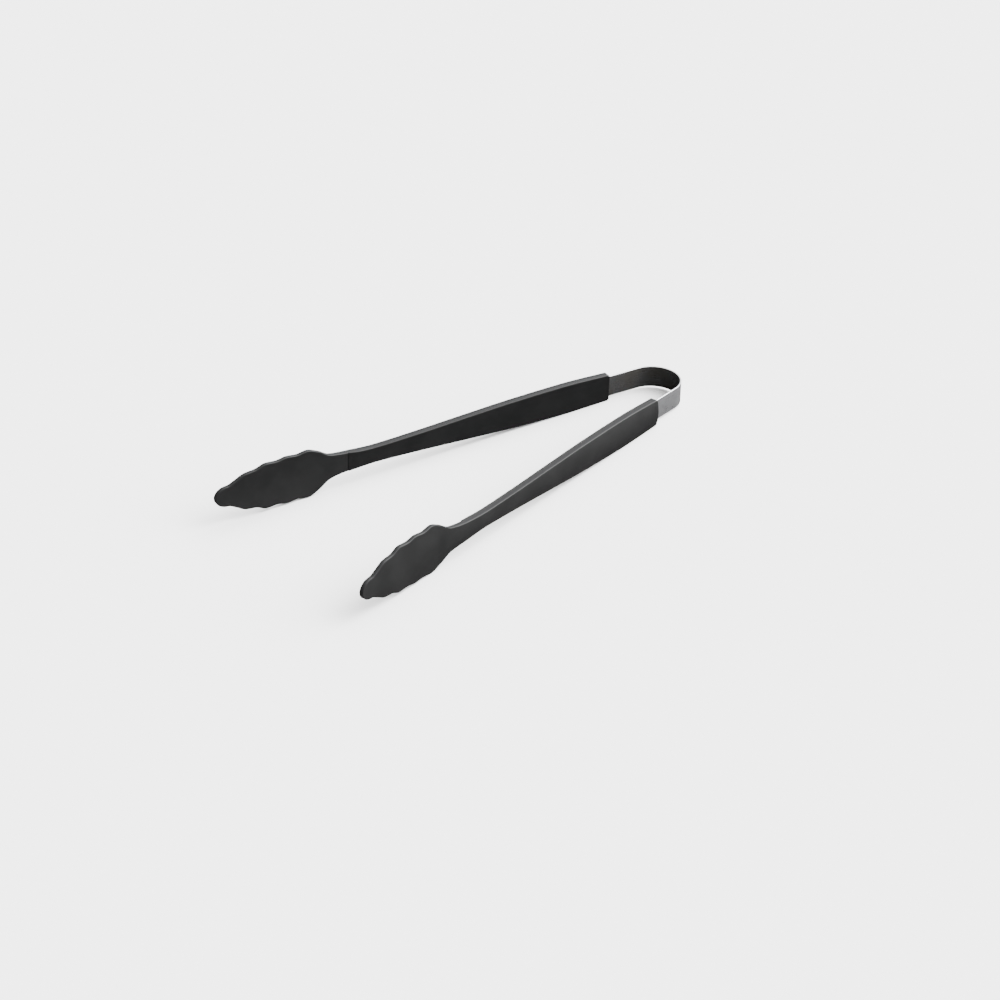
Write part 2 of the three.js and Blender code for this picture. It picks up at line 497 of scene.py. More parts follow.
def written(work: bmesh.types.BMesh, name: str) -> Mesh:
    """Write a working mesh out, and free it.

    Args:
        work: the working mesh.
        name: name of the new mesh.

    Returns:
        The new mesh.
    """
    mesh = bpy.data.meshes.new(name)
    work.to_mesh(mesh)
    work.free()
    return mesh


def linked(name: str, data: bpy.types.ID) -> bpy.types.Object:
    """Make an object and link it to the scene.

    Args:
        name: its name.
        data: its mesh or camera.

    Returns:
        The new object.
    """
    item = bpy.data.objects.new(name, data)
    bpy.context.scene.collection.objects.link(item)
    return item


def cylinder(radius: float, low: float, high: float) -> list[Point]:
    """Return the profile of a plain cylinder that reaches from one distance out to another."""
    return [(0, low), (radius, low), (radius, high), (0, high)]


def tidied(mesh: Mesh) -> Mesh:
    """Merge a closed mesh's doubles and turn its faces outwards.

    Args:
        mesh: the mesh to tidy.

    Returns:
        The same mesh.
    """
    work = bmesh.new()
    work.from_mesh(mesh)
    bmesh.ops.remove_doubles(work, verts=work.verts, dist=MERGE_DISTANCE)
    bmesh.ops.recalc_face_normals(work, faces=work.faces)
    work.to_mesh(mesh)
    work.free()
    return mesh


def turned_solid(profile: Sequence[Point], along: float, lift: float, segments: int = 48) -> Mesh:
    """Turn a profile about an axis that crosses the arm.

    Args:
        profile: radius and distance out of each of its points. It starts and ends on the axis.
        along: place of the axis along the arm.
        lift: distance from the arm's axis to where "out" is 0.
        segments: steps round the axis.

    Returns:
        A closed mesh in the arm's own frame.
    """
    work = bmesh.new()
    points = [work.verts.new((radius, out + lift, 0.0)) for radius, out in profile]
    edges = [work.edges.new(pair) for pair in zip(points, points[1:])]
    bmesh.ops.spin(
        work, geom=points + edges, cent=(0, 0, 0), axis=(0, 1, 0),
        angle=math.tau, steps=segments, use_merge=True,
    )
    bmesh.ops.translate(work, verts=work.verts, vec=(along, 0, 0))
    bmesh.ops.remove_doubles(work, verts=work.verts, dist=MERGE_DISTANCE)
    bmesh.ops.recalc_face_normals(work, faces=work.faces)
    return written(work, "turned")


def block(low: Sequence[float], high: Sequence[float]) -> Mesh:
    """Make a cutter with flat faces.

    Args:
        low: its lowest corner.
        high: its highest corner.

    Returns:
        A closed mesh.
    """
    work = bmesh.new()
    bmesh.ops.create_cube(work, size=1.0)
    centre = [(a + b) / 2 for a, b in zip(low, high)]
    bmesh.ops.scale(work, verts=work.verts, vec=[b - a for a, b in zip(low, high)])
    bmesh.ops.translate(work, verts=work.verts, vec=centre)
    return written(work, "block")


class Operation(Enum):
    """What a tool does to a mesh."""

    CUT = "DIFFERENCE"
    JOIN = "UNION"


def worked(mesh: Mesh, operation: Operation, tools: Sequence[Mesh]) -> Mesh:
    """Cut tools out of a mesh, or join them to it.

    Args:
        mesh: the mesh to work on.
        operation: what the tools do.
        tools: closed meshes that don't touch each other.

    Returns:
        The new mesh. The old one and the tools are removed.
    """
    joined = bmesh.new()
    for tool in tools:
        joined.from_mesh(tool)
    tool_mesh = written(joined, "tool")
    base = linked("base", mesh)
    cutter = linked("cutter", tool_mesh)
    modifier = base.modifiers.new("work", "BOOLEAN")
    modifier.operation = operation.value
    modifier.solver = "EXACT"
    modifier.object = cutter
    result = as_plain_mesh(base, mesh.name)
    bpy.data.objects.remove(cutter)
    for spent in [tool_mesh, *tools]:
        bpy.data.meshes.remove(spent)
    return result


def as_plain_mesh(item: bpy.types.Object, name: str) -> Mesh:
    """Take the mesh that an object's modifiers make, and remove the object.

    Args:
        item: the object, linked to the scene.
        name: name of the new mesh.

    Returns:
        A mesh of its own.
    """
    bpy.context.view_layer.update()
    depsgraph = bpy.context.evaluated_depsgraph_get()
    mesh = bpy.data.meshes.new_from_object(item.evaluated_get(depsgraph), depsgraph=depsgraph)
    bpy.data.objects.remove(item)
    mesh.name = name
    return mesh


def placed(mesh: Mesh, name: str, matrix: Matrix, material: Material) -> bpy.types.Object:
    """Make a piece: place its mesh, shade it smooth but for its corners, and dress it.

    Args:
        mesh: mesh in its own frame.
        name: name of the piece.
        matrix: from the mesh's frame to the row frame.
        material: its finish.

    Returns:
        The new object, at the origin.
    """
    mesh.transform(matrix)
    mesh.name = name
    mesh.materials.clear()
    mesh.materials.append(material)
    mesh.polygons.foreach_set("use_smooth", np.ones(len(mesh.polygons), bool))
    mesh.set_sharp_from_angle(angle=SHARP_ANGLE)
    mesh.update()
    return linked(name, mesh)


# ---------------------------------------------------------------------------------------------------------
# Node trees
# ---------------------------------------------------------------------------------------------------------


@dataclass
class TreeBuilder:
    """Adds nodes to a tree and joins them."""

    tree: bpy.types.NodeTree

    def feed(self, node: bpy.types.Node, inputs: dict[str | int, object]) -> None:
        """Set a node's inputs.

        Args:
            node: the node.
            inputs: values or sockets for its inputs, by name or number.
        """
        for key, value in inputs.items():
            if isinstance(value, Socket):
                self.tree.links.new(value, node.inputs[key])
            else:
                node.inputs[key].default_value = value

    def add(
        self, kind: str, inputs: dict[str | int, object] | None = None, **settings: object
    ) -> bpy.types.Node:
        """Add a node.

        Args:
            kind: the node's type.
            inputs: values or sockets for its inputs, by name or number.
            settings: values of its properties.

        Returns:
            The new node.
        """
        node = self.tree.nodes.new(kind)
        for key, value in settings.items():
            setattr(node, key, value)
        self.feed(node, inputs or {})
        return node

    def math(self, operation: str, *values: object, clamp: bool = False) -> Socket:
        """Add a Math node.

        Args:
            operation: its operation.
            values: its inputs, in order.
            clamp: whether the result is kept between 0 and 1.

        Returns:
            The result's socket.
        """
        node = self.add("ShaderNodeMath", dict(enumerate(values)), operation=operation, use_clamp=clamp)
        return node.outputs[0]

    def vector(self, x: object, y: object, z: object) -> Socket:
        """Join three numbers into a vector and return its socket."""
        return self.add("ShaderNodeCombineXYZ", {"X": x, "Y": y, "Z": z}).outputs[0]

    def remap(self, value: object, low: object, high: object, to_low: float, to_high: float) -> Socket:
        """Map a range of numbers on another, without going past its ends.

        Args:
            value: the number.
            low: start of its range.
            high: end of its range.
            to_low: result at the start.
            to_high: result at the end.

        Returns:
            The result's socket.
        """
        ends = {"Value": value, "From Min": low, "From Max": high, "To Min": to_low, "To Max": to_high}
        return self.add("ShaderNodeMapRange", ends, interpolation_type="SMOOTHSTEP").outputs["Result"]

    def noise(self, vector: object, scale: object, detail: float, roughness: float = 0.5) -> Socket:
        """Add a Noise Texture.

        Args:
            vector: where it is read.
            scale: how fine it is.
            detail: how many octaves it has.
            roughness: how strong the finer ones are.

        Returns:
            The socket of its value.
        """
        values = {"Vector": vector, "Scale": scale, "Detail": detail, "Roughness": roughness}
        return self.add("ShaderNodeTexNoise", values).outputs[0]

    def colour(self, share: object, first: object, second: object) -> Socket:
        """Blend two colours.

        Args:
            share: 0 for the first, 1 for the second.
            first: colour or socket.
            second: colour or socket.

        Returns:
            The blended colour's socket.
        """
        ends = [end if isinstance(end, Socket) else (*end, 1.0) for end in (first, second)]
        node = self.add("ShaderNodeMix", {"Factor": share, 6: ends[0], 7: ends[1]}, data_type="RGBA")
        return node.outputs[2]

    def effect(self, group: bpy.types.NodeTree, **values: object) -> Socket:
        """Add a shared effect with these inputs and return its output."""
        return self.add("ShaderNodeGroup", values, node_tree=group).outputs[0]

    def bump(self, height: object, distance: float, **under: object) -> Socket:
        """Raise a surface.

        Args:
            height: the height, from 0 to 1.
            distance: how far 1 stands out, in metres.
            under: Normal, if the surface is raised already.

        Returns:
            The normal's socket.
        """
        inputs = {"Height": height, "Distance": distance, "Strength": 1.0, **under}
        return self.add("ShaderNodeBump", inputs).outputs[0]


class Effects:
    """Surface effects that more than one finish uses, as node groups."""

    def __init__(self) -> None:
        """Build each group once."""
        self.patches = self._patches()
        self.grain = self._grain()
        self.wear = self._wear()
        self.lines = self._lines()

    @staticmethod
    def _group(name: str, inputs: dict[str, object], output: str) -> tuple[TreeBuilder, dict, bpy.types.Node]:
        """Start a group.

        Args:
            name: its name.
            inputs: its inputs with their values. A value of None makes a vector.
            output: name of its one output.

        Returns:
            A builder, the inputs' sockets by name, and the output node.
        """
        tree = bpy.data.node_groups.new(name, "ShaderNodeTree")
        for key, value in inputs.items():
            kind = "NodeSocketVector" if value is None else "NodeSocketFloat"
            socket = tree.interface.new_socket(key, in_out="INPUT", socket_type=kind)
            if value is not None:
                socket.default_value = value
        tree.interface.new_socket(output, in_out="OUTPUT", socket_type="NodeSocketFloat")
        build = TreeBuilder(tree)
        source = build.add("NodeGroupInput")
        return build, {key: source.outputs[key] for key in inputs}, build.add("NodeGroupOutput")

    def _patches(self) -> bpy.types.NodeTree:
        """Soft uneven patches, from 0 to 1."""
        inputs = {"Vector": None, "Scale": 60.0, "Spread": 0.2}
        build, given, end = self._group("soft_patches", inputs, "Mask")
        cloud = build.noise(given["Vector"], given["Scale"], 3.0, 0.55)
        low = build.math("SUBTRACT", 0.5, given["Spread"])
        high = build.math("ADD", 0.5, given["Spread"])
        build.feed(end, {0: build.remap(cloud, low, high, 0.0, 1.0)})
        return build.tree

    def _grain(self) -> bpy.types.NodeTree:
        """Fine pebbled grain, as a height."""
        finer_by = 1.7
        inputs = {"Vector": None, "Scale": 3500.0, "Pebble": 0.5}
        build, given, end = self._group("fine_grain", inputs, "Height")
        cells = build.add("ShaderNodeTexVoronoi", {"Vector": given["Vector"], "Scale": given["Scale"]},
                          feature="SMOOTH_F1").outputs["Distance"]
        finer = build.math("MULTIPLY", given["Scale"], finer_by)
        dust = build.noise(given["Vector"], finer, 2.0, 0.6)
        pebbles = build.math("MULTIPLY", cells, given["Pebble"])
        build.feed(end, {0: build.math("ADD", dust, pebbles)})
        return build.tree

    def _wear(self) -> bpy.types.NodeTree:
        """Broken wear along rounded edges, from 0 to 1."""
        coarser_by, broad_share, fine_share, worn_from, gain = 0.12, 0.6, 0.4, 0.62, 5.0
        inputs = {"Vector": None, "Rim": 0.0, "Scale": 900.0, "Cover": 0.5}
        build, given, end = self._group("edge_wear", inputs, "Mask")
        broad = build.noise(given["Vector"], build.math("MULTIPLY", given["Scale"], coarser_by), 2.0)
        fine = build.noise(given["Vector"], given["Scale"], 4.0, 0.65)
        broad_part = build.math("MULTIPLY", broad, broad_share)
        spots = build.math("ADD", broad_part, build.math("MULTIPLY", fine, fine_share))
        edge = build.math("MULTIPLY", given["Rim"], given["Cover"])
        worn = build.math("SUBTRACT", build.math("ADD", spots, edge), worn_from)
        spread = build.math("MULTIPLY", worn, gain, clamp=True)
        build.feed(end, {0: build.math("MULTIPLY", spread, given["Rim"])})
        return build.tree

    def _lines(self) -> bpy.types.NodeTree:
        """Fine parallel lines that run along the vector's X, as a height."""
        stretches_and_shares = ((1.0, 0.55), (0.35, 0.45))
        depth_scale = 400.0
        inputs = {"Vector": None, "Along": 60.0, "Across": 5000.0}
        build, given, end = self._group("drawn_lines", inputs, "Height")
        parts = build.add("ShaderNodeSeparateXYZ", {0: given["Vector"]})
        layers = []
        for stretch, share in stretches_and_shares:
            x = build.math("MULTIPLY", parts.outputs[0], build.math("MULTIPLY", given["Along"], stretch))
            y = build.math("MULTIPLY", parts.outputs[1], build.math("MULTIPLY", given["Across"], stretch))
            z = build.math("MULTIPLY", parts.outputs[2], depth_scale)
            layers.append(build.math("MULTIPLY", build.noise(build.vector(x, y, z), 1.0, 3.0, 0.6), share))
        build.feed(end, {0: build.math("ADD", *layers)})
        return build.tree


@dataclass(frozen=True)
class Nylon:
    """Black nylon with a fine moulded grain, a soft sheen and lightly rubbed edges."""

    dark: Colour = (0.0114, 0.0114, 0.0115)
    light: Colour = (0.0140, 0.0140, 0.0141)
    rubbed: Colour = (0.024, 0.024, 0.025)
    specular: float = 0.12
    roughness: float = 0.40
    roughness_spread: float = 0.09
    patch_scale: float = 55.0
    grain_scale: float = 3200.0
    grain_depth: float = 0.000012
    scuff_depth: float = 0.000006
    scuff_along: float = 25.0
    scuff_across: float = 1300.0
    scuff_range: Point = (0.58, 0.70)
    scuff_roughness: float = 0.06
    pebble: float = 0.6
    mottle_scale: float = 700.0
    wear_scale: float = 1400.0
    wear_cover: float = 0.42
    wear_tint: float = 0.55
    wear_polish: float = 0.08

    def make(self, name: str, effects: Effects) -> Material:
        """Build the material.

        Args:
            name: its name.
            effects: the shared groups.

        Returns:
            The material.
        """
        material, build, shader = new_material(name)
        place = build.add("ShaderNodeTexCoord").outputs["Object"]
        rim = build.add("ShaderNodeAttribute", attribute_name="rim").outputs["Fac"]
        patches = build.effect(effects.patches, Vector=place, Scale=self.patch_scale)
        wear = build.effect(
            effects.wear, Vector=place, Rim=rim, Scale=self.wear_scale, Cover=self.wear_cover
        )
        grain = build.effect(effects.grain, Vector=place, Scale=self.grain_scale, Pebble=self.pebble)
        scuffs = build.effect(effects.lines, Vector=place, Along=self.scuff_along, Across=self.scuff_across)
        mottle = build.noise(place, self.mottle_scale, 3.0, 0.6)

        body = build.colour(patches, self.dark, self.light)
        body = build.colour(build.math("MULTIPLY", wear, self.wear_tint), body, self.rubbed)

        uneven = build.math("ADD", build.math("MULTIPLY", patches, 0.5), build.math("MULTIPLY", mottle, 0.5))
        rough = build.math("MULTIPLY_ADD", uneven, self.roughness_spread, self.roughness)
        marks = build.remap(scuffs, *self.scuff_range, 0.0, self.scuff_roughness)
        polish = build.math("MULTIPLY", wear, self.wear_polish)
        rough = build.math("SUBTRACT", build.math("ADD", rough, marks), polish)

        fine = build.bump(grain, self.grain_depth)
        build.feed(shader, {
            "Base Color": body, "Roughness": rough, "Specular IOR Level": self.specular,
            "Normal": build.bump(scuffs, self.scuff_depth, Normal=fine),
        })
        return material


@dataclass(frozen=True)
class SpringSteel:
    """Rolled spring steel with lines along the strip and soft stains. The strip's inner side carries painted
    shade: its colour is darker, standing in for the dark reflections there, with cool and warm patches at
    random.
    """

    metal: float = 0.7
    bright: Colour = (0.275, 0.275, 0.285)
    dull: Colour = (0.235, 0.235, 0.24)
    # Inner-side colours: painted shade, darker than the outer face to stand in for the dark reflections that
    # the inner side shows.
    inside_painted_shade_cool: Colour = (0.103, 0.103, 0.104)
    inside_painted_shade_warm: Colour = (0.098, 0.094, 0.089)
    edge: Colour = (0.66, 0.665, 0.675)
    roughness: float = 0.27
    line_depth: float = 0.000004
    line_along: float = 45.0
    line_across: float = 4200.0
    line_roughness: float = 0.18
    skin_depth: float = 0.0000015
    skin_scale: float = 5200.0
    skin_pebble: float = 0.3
    stain_scale: float = 150.0
    stain_spread: float = 0.3
    stain_roughness: float = 0.05
    tint_scale: float = 85.0
    tint_spread: float = 0.1
    wear_scale: float = 1100.0
    wear_cover: float = 1.0
    side_range: Point = (-0.35, 0.2)

    def make(self, name: str, effects: Effects) -> Material:
        """Build the material.

        Args:
            name: its name.
            effects: the shared groups.

        Returns:
            The material.
        """
        material, build, shader = new_material(name)
        place = build.add("ShaderNodeAttribute", attribute_name="strip_place").outputs["Vector"]
        side = build.add("ShaderNodeAttribute", attribute_name="strip_side").outputs["Fac"]
        rim = build.add("ShaderNodeAttribute", attribute_name="rim").outputs["Fac"]
        stains = build.effect(effects.patches, Vector=place, Scale=self.stain_scale, Spread=self.stain_spread)
        tint = build.effect(effects.patches, Vector=place, Scale=self.tint_scale, Spread=self.tint_spread)
        lines = build.effect(effects.lines, Vector=place, Along=self.line_along, Across=self.line_across)
        skin = build.effect(effects.grain, Vector=place, Scale=self.skin_scale, Pebble=self.skin_pebble)
        wear = build.effect(
            effects.wear, Vector=place, Rim=rim, Scale=self.wear_scale, Cover=self.wear_cover
        )

        outside = build.remap(side, *self.side_range, 0.0, 1.0)
        outer_face = build.colour(stains, self.dull, self.bright)
        # Painted shade: the inner side takes darker colours in place of dark reflections; its cool and warm
        # patches vary at random.
        inner_face_painted_shade = build.colour(tint, self.inside_painted_shade_cool, self.inside_painted_shade_warm)
        body = build.colour(wear, build.colour(outside, inner_face_painted_shade, outer_face), self.edge)

        rough = build.math("MULTIPLY_ADD", stains, self.stain_roughness, self.roughness)
        ridges = build.math("MULTIPLY", build.math("SUBTRACT", lines, 0.5), self.line_roughness)

        rolled = build.bump(lines, self.line_depth)
        build.feed(shader, {
            "Base Color": body, "Roughness": build.math("ADD", rough, ridges), "Metallic": self.metal,
            "Normal": build.bump(skin, self.skin_depth, Normal=rolled),
        })
        return material


@dataclass(frozen=True)
class PinSteel:
    """Plain steel of a headed pin, with fine turned marks."""

    colour: Colour = (0.48, 0.48, 0.49)
    dull: Colour = (0.36, 0.36, 0.37)
    roughness: float = 0.34
    stain_scale: float = 500.0
    stain_spread: float = 0.15
    mark_along: float = 300.0
    mark_across: float = 6000.0
    mark_roughness: float = 0.12
    mark_depth: float = 0.000004

    def make(self, name: str, effects: Effects) -> Material:
        """Build the material.

        Args:
            name: its name.
            effects: the shared groups.

        Returns:
            The material.
        """
        material, build, shader = new_material(name)
        place = build.add("ShaderNodeTexCoord").outputs["Object"]
        stains = build.effect(effects.patches, Vector=place, Scale=self.stain_scale, Spread=self.stain_spread)
        marks = build.effect(effects.lines, Vector=place, Along=self.mark_along, Across=self.mark_across)
        build.feed(shader, {
            "Base Color": build.colour(stains, self.dull, self.colour), "Metallic": 1.0,
            "Roughness": build.math("MULTIPLY_ADD", marks, self.mark_roughness, self.roughness),
            "Normal": build.bump(marks, self.mark_depth),
        })
        return material


@dataclass(frozen=True)
class Tabletop:
    """A plain matt surface, pale to the camera, darker to thrown light and almost black to reflections."""

    low: Colour = (0.945, 0.945, 0.945)
    high: Colour = (0.955, 0.955, 0.955)
    thrown: Colour = (0.40, 0.40, 0.40)
    mirrored: Colour = (0.02, 0.02, 0.02)
    patch_scale: float = 3.0
    patch_spread: float = 0.3
    roughness: Point = (0.88, 0.94)

    def make(self, name: str, effects: Effects) -> Material:
        """Build the material.

        Args:
            name: its name.
            effects: the shared groups.

        Returns:
            The material.
        """
        material, build, shader = new_material(name)
        place = build.add("ShaderNodeTexCoord").outputs["Object"]
        patches = build.effect(
            effects.patches, Vector=place, Scale=self.patch_scale, Spread=self.patch_spread
        )
        ray = build.add("ShaderNodeLightPath").outputs
        seen = build.colour(ray["Is Camera Ray"], self.thrown, build.colour(patches, self.low, self.high))
        build.feed(shader, {
            "Base Color": build.colour(ray["Is Glossy Ray"], seen, self.mirrored),
            "Roughness": build.remap(patches, 0.0, 1.0, *self.roughness), "Specular IOR Level": 0.0,
        })
        return material


def new_material(name: str) -> tuple[Material, TreeBuilder, bpy.types.Node]:
    """Start a material.

    Args:
        name: its name.

    Returns:
        The material, a builder for its nodes, and its Principled BSDF.
    """
    material = bpy.data.materials.new(name)
    material.use_nodes = True
    build = TreeBuilder(material.node_tree)
    return material, build, material.node_tree.nodes["Principled BSDF"]


@dataclass(frozen=True)
class Finishes:
    """The finishes of the tongs."""

    nylon: Material
    cover_nylon: Material
    spring_steel: Material
    pin_steel: Material
    tabletop: Material

    @staticmethod
    def build() -> "Finishes":
        """Build every finish and return them."""
        effects = Effects()
        return Finishes(
            nylon=Nylon().make("black_nylon", effects),
            cover_nylon=Nylon(
                dark=(0.0078, 0.0078, 0.0079), light=(0.0100, 0.0100, 0.0101), patch_scale=70.0
            ).make("cover_nylon", effects),
            spring_steel=SpringSteel().make("spring_steel", effects),
            pin_steel=PinSteel().make("pin_steel", effects),
            tabletop=Tabletop().make("pale_tabletop", effects),
        )


# ---------------------------------------------------------------------------------------------------------
# Sub-assemblies
# ---------------------------------------------------------------------------------------------------------


@dataclass
class SpringStrip:
    """The strip of spring steel, swept along its bend and its two tails by a node tree."""

    shape: StripShape
    placement: Placement
    steps: int = 440
    corner_steps: int = 4
    hole_sides: int = 40
    drill_reach: float = 4.0

    def path_place(self, build: TreeBuilder, distance: object, radius: object, half: object) -> tuple:
        """Add the nodes that follow the strip's path.

        Args:
            build: builder of the tree.
            distance: distance along the path from the back of the bend.
            radius: radius of the bend.
            half: angle of the bend on either side of its back.

        Returns:
            Sockets of the point on the path and of the outward direction there.
        """
        reach = build.math("MULTIPLY", radius, half)
        behind = build.math("MULTIPLY", reach, -1.0)
        bent = build.math("MINIMUM", build.math("MAXIMUM", distance, behind), reach)
        straight = build.math("SUBTRACT", distance, bent)
        angle = build.math("DIVIDE", bent, radius)
        sine, cosine = build.math("SINE", angle), build.math("COSINE", angle)
        back = build.math("MULTIPLY", cosine, -1.0)
        x = build.math("ADD", build.math("MULTIPLY", back, radius), build.math("MULTIPLY", sine, straight))
        y = build.math("ADD", build.math("MULTIPLY", sine, radius), build.math("MULTIPLY", cosine, straight))
        return build.vector(x, y, 0.0), build.vector(back, sine, 0.0)

    def node_tree(self, sizes: dict[str, object]) -> tuple[bpy.types.NodeTree, dict[str, str]]:
        """Build the tree that sweeps the strip and drills its holes.

        Args:
            sizes: the tree's inputs by name.

        Returns:
            The tree, and the identifiers of its inputs by name.
        """
        tree = bpy.data.node_groups.new("bent_strip", "GeometryNodeTree")
        kinds = {float: "NodeSocketFloat", int: "NodeSocketInt", Material: "NodeSocketMaterial"}
        named = {
            key: tree.interface.new_socket(key, in_out="INPUT", socket_type=kinds[type(value)]).identifier
            for key, value in sizes.items()
        }
        tree.interface.new_socket("Mesh", in_out="OUTPUT", socket_type="NodeSocketGeometry")
        build = TreeBuilder(tree)
        given = build.add("NodeGroupInput").outputs
        radius, half = given["Bend Radius"], given["Half Bend"]
        reach = build.math("MULTIPLY", radius, half)
        end = build.math("ADD", reach, given["Tail"])

        start = build.math("MULTIPLY", end, -1.0)
        line = build.add("GeometryNodeCurvePrimitiveLine", {
            "Start": build.vector(start, 0.0, 0.0), "End": build.vector(end, 0.0, 0.0),
        })
        fine = build.add("GeometryNodeResampleCurve", {"Curve": line.outputs[0], "Count": given["Steps"]})
        at = build.add("GeometryNodeInputPosition").outputs[0]
        along = build.add("ShaderNodeSeparateXYZ", {0: at}).outputs[0]
        path_point, _ = self.path_place(build, along, radius, half)
        path = build.add("GeometryNodeSetPosition", {"Geometry": fine.outputs[0], "Position": path_point})
        upright = build.add("GeometryNodeSetCurveNormal", {"Curve": path.outputs[0]}, mode="Z_UP")

        outline = build.add("GeometryNodeCurvePrimitiveQuadrilateral", {
            "Width": given["Thickness"], "Height": given["Width"],
        })
        round_edges = build.add("GeometryNodeFilletCurve", {
            "Curve": outline.outputs[0], "Count": given["Corner Steps"], "Radius": given["Edge Radius"],
        }, mode="POLY")
        strip = build.add("GeometryNodeCurveToMesh", {
            "Curve": upright.outputs[0], "Profile Curve": round_edges.outputs[0], "Fill Caps": True,
        })

        holes = self.hole_tools(build, given, reach)
        tools = {"Mesh 1": strip.outputs[0], "Mesh 2": holes}
        drilled = build.add("GeometryNodeMeshBoolean", tools, operation="DIFFERENCE", solver="EXACT")
        real = build.add("GeometryNodeRealizeInstances", {0: drilled.outputs[0]})
        steel = {"Geometry": real.outputs[0], "Material": given["Steel"]}
        dressed = build.add("GeometryNodeSetMaterial", steel)
        build.add("NodeGroupOutput", {0: dressed.outputs[0]})
        return tree, named

    def hole_tools(self, build: TreeBuilder, given: dict, reach: Socket) -> Socket:
        """Add the nodes that set a drill at each pin, two to a tail.

        Args:
            build: builder of the tree.
            given: sockets of the tree's inputs.
            reach: length of the path from the back of the bend to where a tail begins.

        Returns:
            Socket of the drills' meshes.
        """
        points = build.add("GeometryNodePoints", {"Count": 4})
        number = build.add("GeometryNodeInputIndex").outputs[0]
        second = build.math("MODULO", number, 2.0)
        right = build.math("GREATER_THAN", number, 1.5)
        gap = build.math("SUBTRACT", given["Second Pin"], given["First Pin"])
        inset = build.math("ADD", given["First Pin"], build.math("MULTIPLY", second, gap))
        sign = build.math("SUBTRACT", 1.0, build.math("MULTIPLY", right, 2.0))
        distance = build.math("MULTIPLY", sign, build.math("ADD", reach, inset))
        place, outward = self.path_place(build, distance, given["Bend Radius"], given["Half Bend"])
        moved = build.add("GeometryNodeSetPosition", {"Geometry": points.outputs[0], "Position": place})
        depth = build.math("MULTIPLY", given["Thickness"], self.drill_reach)
        drill = build.add("GeometryNodeMeshCylinder", {
            "Vertices": self.hole_sides, "Radius": given["Hole Radius"], "Depth": depth,
        })
        turn = build.add("FunctionNodeAlignRotationToVector", {"Vector": outward}, axis="Z")
        drills = build.add("GeometryNodeInstanceOnPoints", {
            "Points": moved.outputs[0], "Instance": drill.outputs[0], "Rotation": turn.outputs[0],
        })
        return build.add("GeometryNodeRealizeInstances", {0: drills.outputs[0]}).outputs[0]

    def swept(self, steel: Material) -> Mesh:
        """Run the tree.

        Args:
            steel: the strip's finish.

        Returns:
            The strip's mesh in the tongs' own frame, in millimetres.
        """
        shape = self.shape
        sizes = {
            "Width": shape.width, "Thickness": shape.thickness, "Edge Radius": shape.edge_radius,
            "Bend Radius": shape.bend_radius, "Half Bend": shape.half_bend, "Tail": shape.tail_end,
            "Hole Radius": shape.hole_radius,
            "First Pin": shape.pin_places[0], "Second Pin": shape.pin_places[1],
            "Steps": self.steps, "Corner Steps": self.corner_steps, "Steel": steel,
        }
        tree, named = self.node_tree(sizes)
        holder = linked("strip_holder", bpy.data.meshes.new("strip_holder"))
        modifier = holder.modifiers.new("sweep", "NODES")
        modifier.node_group = tree
        for key, value in sizes.items():
            modifier[named[key]] = value
        return as_plain_mesh(holder, "spring_strip")

    def mark_places(self, mesh: Mesh) -> None:
        """Store where each point lies on the strip, for its finish.

        Args:
            mesh: the strip in the tongs' own frame. It gets "strip_place", in metres along, up and out,
                "strip_side", from -1 inside the bend to 1 outside, and "rim", 1 on its long edges.
        """
        shape = self.shape
        points = np.empty(len(mesh.vertices) * 3)
        mesh.vertices.foreach_get("co", points)
        x, y, z = points.reshape(-1, 3).T
        angle = np.clip(np.arctan2(y, -x), -shape.half_bend, shape.half_bend)
        straight = x * np.sin(angle) + y * np.cos(angle)
        out = -x * np.cos(angle) + y * np.sin(angle) - shape.bend_radius
        along = shape.bend_radius * angle + straight
        places = np.stack([along, z, out], axis=1) * MM
        side = np.clip(2 * out / shape.thickness, -1, 1)
        to_edge = shape.width / 2 - np.abs(z)
        rim = np.clip(1 - to_edge / shape.edge_radius, 0, 1)
        for name, kind, field_name, values in (
            ("strip_place", "FLOAT_VECTOR", "vector", places),
            ("strip_side", "FLOAT", "value", side),
            ("rim", "FLOAT", "value", rim),
        ):
            attribute = mesh.attributes.new(name, kind, "POINT")
            attribute.data.foreach_set(field_name, values.astype(np.float32).ravel())

    def build(self, finishes: Finishes, arm: ArmShape) -> bpy.types.Object:
        """Build the strip and put it in its place.

        Args:
            finishes: the finishes.
            arm: the arms' shape, which says where the strip leaves the handles.

        Returns:
            The strip.
        """
        mesh = tidied(self.swept(finishes.spring_steel))
        self.mark_places(mesh)
        strip = placed(mesh, "fine_spring_strip", self.placement.base, finishes.spring_steel)
        ends = [self.placement.tail_point(side, arm.handle_start) for side in (Side.RIGHT, Side.LEFT)]
        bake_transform(strip)
        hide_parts("spring_strip")
        return strip


